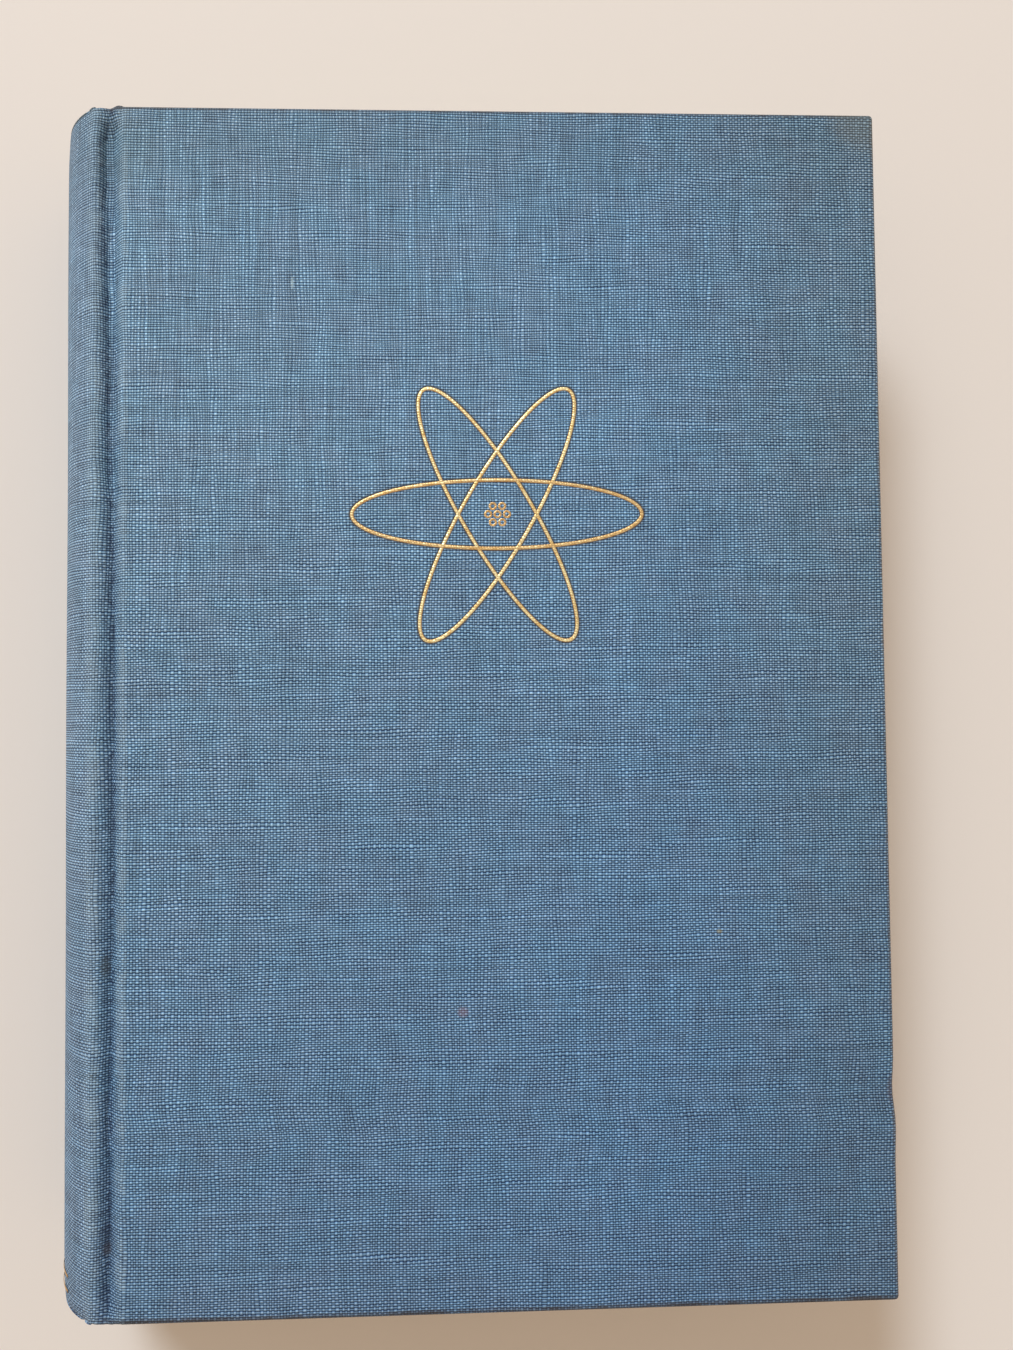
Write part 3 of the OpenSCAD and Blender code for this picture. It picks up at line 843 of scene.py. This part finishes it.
def grey(g, value):
    return g.vector(value, value, value)


def yarn_level(g, weave, place_mm, u, y):
    """How light each thread is, from the unevenness of its yarn and from painted light that picks out the
    upright crowns and, near the head, the upright yarn.
    """
    high = g.times(g.scaled(y, -10.0, 95.0), g.scaled(u, 70.0, 125.0, 1.0, 0.35))
    low = g.minus(1.0, high)
    by_joint = g.scaled(u, 4.0, 26.0, 1.0, 0.0)
    # painted light: the upright crowns are painted lighter than the level ones; near the head the upright
    # yarn is the more uneven one
    painted_crown_light = g.times_plus(high, -0.04, 0.25)
    crown = g.times_plus(g.minus(weave["Upright"], 0.5), painted_crown_light, 1.0)
    by_way = g.times_plus(weave["Upright"], 0.80, -0.34)
    vary = g.times_plus(by_joint, 0.30, g.times_plus(high, by_way, 0.46))
    tone = g.times_plus(g.minus(weave["Tone"], 0.5), vary, 1.0)

    # uneven yarn makes long pale and dark streaks; their running upright near the head and level near the
    # tail is painted light, for the light picks out the upright yarn at the head and the level yarn at the
    # tail
    def streaks(along_u, along_y, amount):
        field = g.noise(g.vector(g.times(u, along_u), g.times(y, along_y)), 1.0, 3, 0.6, "2D")
        return g.times(g.minus(field, 0.5), amount)

    columns = streaks(0.62, 0.02, g.times_plus(high, 0.16, 0.10))
    yarns = streaks(1.5, 0.03, g.times_plus(high, 0.40, 0.06))
    rows = streaks(0.025, 0.62, g.times_plus(low, 0.20, 0.05))
    midway = g.times(by_joint, g.scaled(g.math("ABSOLUTE", y), 25.0, 85.0, 0.36, 0.10))
    picks = streaks(0.05, 1.5, g.times_plus(low, 0.20, midway))
    thread = g.noise(g.vector(g.times_plus(u, 1.9, 31.0), g.times(y, 0.03)), 1.0, 2, 0.6, "2D")
    thread = g.times(g.scaled(thread, 0.58, 0.70), g.times_plus(high, 0.16, 0.02))
    pick = g.noise(g.vector(g.times(u, 0.03), g.times_plus(y, 1.9, 57.0)), 1.0, 2, 0.6, "2D")
    pick = g.times(g.scaled(pick, 0.57, 0.69), g.scaled(g.math("ABSOLUTE", y), 40.0, 85.0, 0.20, 0.04))
    thread = g.plus(thread, pick)
    cloud = g.times(g.minus(g.noise(place_mm, 0.03, 3, 0.55), 0.5), 0.16)
    streak = g.plus(g.plus(g.plus(columns, rows), g.plus(yarns, picks)),
                    g.plus(g.plus(cloud, thread), 0.985))
    return g.times(g.times(crown, tone), streak)


def fade(g, colour, place_mm, u, y):
    """Painted light and shade: the cover is painted lighter by the spine and the head, darker and bluer
    towards the fore-edge and the tail, and browner along the fore-edge, as the light falls off; narrow bands
    at head and tail are darker, and the tone varies at random.
    """
    for tint in (
        # painted light and shade: lighter by the spine and the head, darker and bluer towards the fore-edge
        # and the tail, browner along the fore-edge
        g.mix(g.scaled(u, 0.0, 110.0, smooth_step=False), (1.166, 1.102, 1.027), (0.93, 0.985, 1.015)),
        g.mix(g.scaled(u, 95.0, FORE_U), (1.0, 1.0, 1.0), (0.96, 0.86, 0.78)),
        g.mix(g.scaled(y, -108.0, 60.0), (0.735, 0.835, 0.965), (1.040, 1.050, 1.080)),
        g.mix(g.scaled(y, -106.0, -84.0), (0.98, 0.93, 0.92), (1.0, 1.0, 1.0)),
        g.mix(g.scaled(y, 84.0, 104.0), (1.0, 1.0, 1.0), (0.94, 0.91, 0.88)),
        g.mix(g.scaled(g.noise(place_mm, 0.14, 2, 0.5), 0.35, 0.65),
              (1.035, 0.99, 0.985), (0.965, 1.01, 1.015)),
    ):
        colour = g.mix(1.0, colour, tint, "MULTIPLY")
    # the spine has faded to a greyer blue
    greyer = g.add("ShaderNodeHueSaturation", 0.5, 0.88, 0.94, 1.0, colour)
    by_height = g.mix(g.scaled(y, -90.0, 90.0, smooth_step=False), (1.13, 1.13, 1.12), (0.94, 0.98, 1.03))
    greyer = g.mix(1.0, greyer, by_height, "MULTIPLY")
    return g.mix(g.scaled(u, -1.0, 2.0, 1.0, 0.0), colour, greyer)


def joint_dirt_and_painted_shade(g, colour, weave, place_mm, u, y):
    """Dirt and painted shade in the crease of the joint, which leans from the ridge at the head to the board
    at the tail.
    """
    lean = g.times_plus(g.times_plus(y, -0.00015, -0.0085), y, 3.42)
    lean = g.plus(lean, g.scaled(y, 100.0, 108.0, 0.0, 2.6))
    wobble = g.times(g.minus(g.noise(grey(g, y), 0.35, 2, 0.6), 0.5), 1.3)
    right_of = g.plus(g.minus(u, lean), wobble)
    off = g.math("DIVIDE", g.math("ABSOLUTE", right_of), g.scaled(y, 20.0, 100.0, 1.05, 0.62))
    patchy = g.scaled(g.noise(place_mm, 0.75, 3, 0.7), 0.40, 0.60, 0.22, 1.0)
    blots = g.scaled(g.noise(place_mm, 1.1, 3, 0.7), 0.44, 0.60, 0.1, 1.0)
    # painted shade with dirt in the crease, and painted shade on the slopes on both sides of it, kept off the
    # thread crowns
    crease = g.times(g.times(g.scaled(off, 0.1, 1.0, 1.0, 0.0), patchy), 0.84)
    flank = g.times(g.scaled(right_of, -2.8, -0.4), g.scaled(right_of, -0.3, 0.5, 1.0, 0.0))
    across = g.times(g.scaled(right_of, 0.0, 0.8), g.scaled(right_of, 1.4, 2.8, 1.0, 0.0))
    across = g.times(across, g.scaled(y, 0.0, 60.0, 0.25, 0.85))
    flank = g.times(g.times(g.math("MAXIMUM", flank, across), blots), 0.56)
    between = g.scaled(weave["Height"], 0.3, 0.95, 1.12, 0.62)
    return g.mix(g.times(g.math("MAXIMUM", crease, flank), between), colour, linear(20, 40, 74))


def worn_edges_and_painted_light(g, colour, weave, place_mm, u, y):
    """The pressed ridges beside the crease are rubbed pale and painted with highlight where they face the
    light, and the edges of the book are soiled, with painted shade under the rounded tail.
    """
    ragged = g.times_plus(g.minus(g.noise(place_mm, 0.6, 3, 0.6), 0.5), 2.0, u)
    # the board's bevel and the spine's crest are rubbed pale and painted with highlight where they face the
    # light
    bevel = g.times(g.scaled(ragged, 3.9, 5.0), g.scaled(ragged, 5.9, 7.0, 1.0, 0.0))
    crest = g.times(g.scaled(ragged, -1.8, -0.6), g.scaled(ragged, 0.6, 2.0, 1.0, 0.0))
    rubbed = g.scaled(g.noise(place_mm, 0.22, 3, 0.6), 0.36, 0.64, 0.25, 1.0)
    pale = g.times(g.times(g.math("MAXIMUM", bevel, crest), weave["Height"]), rubbed)
    colour = g.mix(g.times(pale, 0.72), colour, linear(168, 194, 212))
    fore = g.times(g.scaled(u, FORE_U - 1.0, FORE_U - 0.2), rubbed)
    colour = g.mix(g.times(fore, 0.6), colour, linear(104, 92, 86))
    # head and tail are soiled, and the rounded tail edge is painted with the shade under it
    ends = g.math("MAXIMUM", g.scaled(y, ROUND_FROM_Y, 107.6), g.scaled(y, -107.3, -106.5, 1.0, 0.0))
    ends = g.times(ends, g.scaled(rubbed, 0.25, 1.0, 0.6, 1.0))
    ends = g.times(ends, g.scaled(u, 1.0, 5.0, 0.3, 1.0))
    return g.mix(g.times(ends, 0.82), colour, linear(58, 50, 48))


def cloth_colour(g, weave, place_mm):
    """The colour of the worn cloth with painted light and shade, and a mask of where the block has pressed it
    down beside the foil.
    """
    x, y, z = g.parts(place_mm)
    u = g.minus(x, RIDGE_X)
    front = g.math("GREATER_THAN", z, MIDDLE_Z)
    # dyed threads, with painted shade down in the gaps between them and painted light on their crowns
    colour = g.ramp(weave["Height"],
                    (0.0, linear(0, 18, 52)), (0.27, linear(30, 68, 108)), (0.52, linear(103, 141, 173)),
                    (0.77, linear(136, 171, 199)), (1.0, linear(166, 194, 214)))
    colour = g.mix(1.0, colour, grey(g, yarn_level(g, weave, place_mm, u, y)), "MULTIPLY")
    colour = fade(g, colour, place_mm, u, y)
    colour = joint_dirt_and_painted_shade(g, colour, weave, place_mm, u, y)
    colour = worn_edges_and_painted_light(g, colour, weave, place_mm, u, y)
    for at, reach, amount, mark_colour in STAINS_AND_SHEEN:
        mask = g.times(spot(g, u, y, at, reach), front)
        colour = g.mix(g.times(mask, amount), colour, linear(*mark_colour))
    # a brown rim beside the foil, where the block has pressed the cloth down
    _, gap = gaps_to_ovals(g, u, y)
    pressed = g.times(g.scaled(gap, 0.30, 0.72, 1.0, 0.0), front)
    colour = g.mix(g.times(pressed, 0.88), colour, linear(58, 48, 42))
    return colour, pressed


def book_cloth():
    mat, g, shader = material("blue_book_cloth", 0.62, Specular_IOR_Level=0.35)
    lie = g.add("ShaderNodeUVMap", uv_map="lie")
    node = g.tree.nodes.new("ShaderNodeMapping")
    g.put(node.inputs["Vector"], lie)
    node.inputs["Scale"].default_value = (LIE_UNIT,) * 3
    place_mm = object_mm(g)
    x, y, _ = g.parts(place_mm)
    open_rows = g.math("MAXIMUM", g.scaled(y, -10.0, 85.0, 1.0, -0.6),
                       g.scaled(x, RIDGE_X + 70.0, RIDGE_X + 125.0, -0.6, 0.8))
    weave = use_weave(g, node.outputs[0], open_rows=open_rows)
    colour, pressed = cloth_colour(g, weave, place_mm)
    g.put(shader.inputs["Base Color"], colour)
    height = g.times(weave["Height"], g.times_plus(pressed, -0.6, 1.0))
    bump(g, shader, height, 0.20, 1.0)
    return mat


def gold_foil():
    mat, g, shader = material("gold_blocking_foil", 0.42, Metallic=0.75)
    at = object_mm(g)
    shine = g.noise(at, 0.9, 3, 0.6)
    worn = g.noise(at, 3.2, 2, 0.6)
    colour = g.mix(g.scaled(shine, 0.3, 0.65), linear(224, 190, 122), linear(254, 242, 190))
    colour = g.mix(g.scaled(worn, 0.58, 0.74), colour, linear(146, 112, 72))
    # the foil sits on the crowns of the threads and thins out between them
    x, y, _ = g.parts(at)
    gaps, gap = gaps_to_ovals(g, g.minus(x, RIDGE_X), y)
    # painted shade: each line is painted darker towards its sides
    colour = g.mix(g.scaled(gap, 0.13, 0.29, 0.0, 0.75), colour, linear(190, 142, 84))
    # painted shade: the oval that runs along the cover is painted darker, as it catches less light
    colour = g.mix(g.scaled(gaps[0], 0.26, 0.32, 0.4, 0.0), colour, linear(196, 142, 82))
    weave = use_weave(g, g.vector(x, y))
    colour = g.mix(g.scaled(weave["Height"], 0.0, 0.36), linear(168, 124, 70), colour)
    g.put(shader.inputs["Base Color"], colour)
    bump(g, shader, weave["Height"], 0.07, 0.7)
    return mat


def paper(name, light, dark, lines=None):
    """Uncoated paper; with lines, the edges of a block of leaves pressed together along Z."""
    mat, g, shader = material(name, 0.92, Specular_IOR_Level=0.2)
    at = object_mm(g, (0, 0, MIDDLE_Z))
    cloud = g.noise(at, 0.05, 4, 0.6)
    speck = g.noise(at, 2.5, 2, 0.7)
    colour = g.mix(g.scaled(cloud, 0.3, 0.8), linear(*light), linear(*dark))
    height = speck
    if lines:
        x, y, z = g.parts(at)
        wander = g.noise(g.vector(g.times(x, 0.02), g.times(y, 0.02), g.times(z, 0.3)), 1.0, 1, 0.5)
        level = g.times_plus(wander, 0.35, z)
        leaves = g.noise(g.vector(g.times(x, 0.004), g.times(y, 0.004), level), 7.5, 3, 0.8)
        dark_line = g.scaled(leaves, 0.34, 0.60)
        colour = g.mix(dark_line, linear(*lines), colour)
        height = leaves
    g.put(shader.inputs["Base Color"], colour)
    bump(g, shader, height, 0.08 if lines else 0.02, 0.7)
    return mat


def band_thread():
    mat, g, shader = material("headband_thread", 0.7, Specular_IOR_Level=0.3)
    at = object_mm(g, (RIDGE_X + AXIS_U, 0, MIDDLE_Z))
    x, y, z = g.parts(at)
    turn = g.math("ARCTAN2", z, g.times(x, -1.0))
    wave = g.math("SINE", g.times(turn, 210.0))
    stripe = g.math("SINE", g.times(turn, 38.0))
    colour = g.mix(g.scaled(stripe, -0.15, 0.15), linear(214, 208, 192), linear(96, 120, 142))
    colour = g.mix(g.scaled(wave, -1, 0.2), linear(120, 116, 106), colour)
    g.put(shader.inputs["Base Color"], colour)
    bump(g, shader, wave, 0.08, 0.8)
    return mat


def gauze():
    mat, g, shader = material("starched_mull", 0.9)
    at = object_mm(g)
    x, y, _ = g.parts(at)
    weave = use_weave(g, g.vector(x, y), 0.9, 0.9, 0.4)
    colour = g.mix(g.scaled(weave["Height"], 0.05, 0.4), linear(120, 112, 88), linear(222, 216, 196))
    g.put(shader.inputs["Base Color"], colour)
    bump(g, shader, weave["Height"], 0.15, 0.7)
    return mat


def board_stuff(name, light, dark, scale=1.2):
    mat, g, shader = material(name, 0.9, Specular_IOR_Level=0.2)
    at = object_mm(g)
    fleck = g.noise(at, scale, 4, 0.7)
    colour = g.mix(g.scaled(fleck, 0.3, 0.7), linear(*dark), linear(*light))
    g.put(shader.inputs["Base Color"], colour)
    bump(g, shader, fleck, 0.05, 0.6)
    return mat


def dress(obj, mat):
    obj.data.materials.clear()
    obj.data.materials.append(mat)


cloth = book_cloth()
for piece in (front_cover_cloth, back_cover_cloth):
    dress(piece, cloth)
foil = gold_foil()
for piece in (foil_figure, foil_rules):
    dress(piece, foil)
endpaper_paper = paper("cream_endpaper", (233, 225, 206), (230, 221, 200))
for piece in (front_endpaper, back_endpaper, nodes["front_flyleaf"], nodes["back_flyleaf"]):
    dress(piece, endpaper_paper)
dress(nodes["text_block"], paper("page_edges", (229, 218, 193), (214, 198, 166), (150, 132, 102)))
thread = band_thread()
for name in ("headband", "tailband"):
    dress(nodes[name], thread)
mull = gauze()
for name in ("spine_mull", "front_mull_flap", "back_mull_flap"):
    dress(nodes[name], mull)
dress(nodes["spine_lining"], board_stuff("kraft_lining", (158, 122, 84), (122, 90, 58)))
grey_card = board_stuff("grey_card", (168, 156, 132), (134, 122, 98))
dress(nodes["spine_strip"], grey_card)
binders_board = board_stuff("binders_board", (150, 140, 118), (112, 103, 84), 0.8)
for name in ("front_board", "back_board"):
    dress(nodes[name], binders_board)


# Floor, light and camera


def add_floor():
    select_none()
    bpy.ops.mesh.primitive_plane_add(size=12)
    floor = bpy.context.object
    floor.name = "pale_floor"
    floor.location = (0, 0, -0.0002)
    mat, g, shader = material("pale_floor", 0.95, Specular_IOR_Level=0.1)
    shader.inputs["Base Color"].default_value = (*linear(229, 221, 215), 1)
    dress(floor, mat)


def add_light(name, kind, energy, size):
    """A lamp towards the origin: its size is an angle for a sun and two lengths for an area."""
    light = bpy.data.lights.new(name, kind)
    light.energy = energy
    light.color = LAMP_COLOUR
    if kind == "AREA":
        light.shape = "RECTANGLE"
        light.size, light.size_y = size
    else:
        light.angle = size
    obj = bpy.data.objects.new(name, light)
    scene.collection.objects.link(obj)
    obj.location = LAMP_AT
    obj.rotation_euler = (-Vector(LAMP_AT)).to_track_quat("-Z", "Y").to_euler()


def add_world():
    """Soft light from all round; the camera and mirrored rays see the paler backdrop."""
    world = bpy.data.worlds.new("soft_room")
    world.use_nodes = True
    g = Graph(world.node_tree)
    path = world.node_tree.nodes.new("ShaderNodeLightPath")
    seen = g.math("MAXIMUM", path.outputs["Is Camera Ray"], path.outputs["Is Glossy Ray"])
    background = world.node_tree.nodes["Background"]
    g.put(background.inputs[0], g.mix(seen, ROOM_COLOUR, BACKDROP_COLOUR))
    background.inputs[1].default_value = 1.0
    scene.world = world


def add_camera():
    """The photograph's camera, fitted from the corners of the front board."""
    data = bpy.data.cameras.new("camera")
    data.lens = 27.04
    data.sensor_width = 36
    data.clip_start, data.clip_end = 0.01, 20
    camera = bpy.data.objects.new("camera", data)
    scene.collection.objects.link(camera)
    right = Vector((0.99924779, -0.01011617, 0.03743695))
    up = Vector((0.00884576, 0.99938451, 0.03394628))
    back = Vector((-0.03775731, -0.03358959, 0.99872225))
    turn = Matrix((right, up, back)).transposed().to_4x4()
    camera.matrix_world = Matrix.Translation(Vector((0.096, -1.674, 216.488)) * MM) @ turn
    scene.camera = camera


add_floor()
add_world()
add_light("window", "SUN", 1.72, 0.30)
add_light("near_window", "AREA", 1.90, (0.28, 0.28))
add_camera()
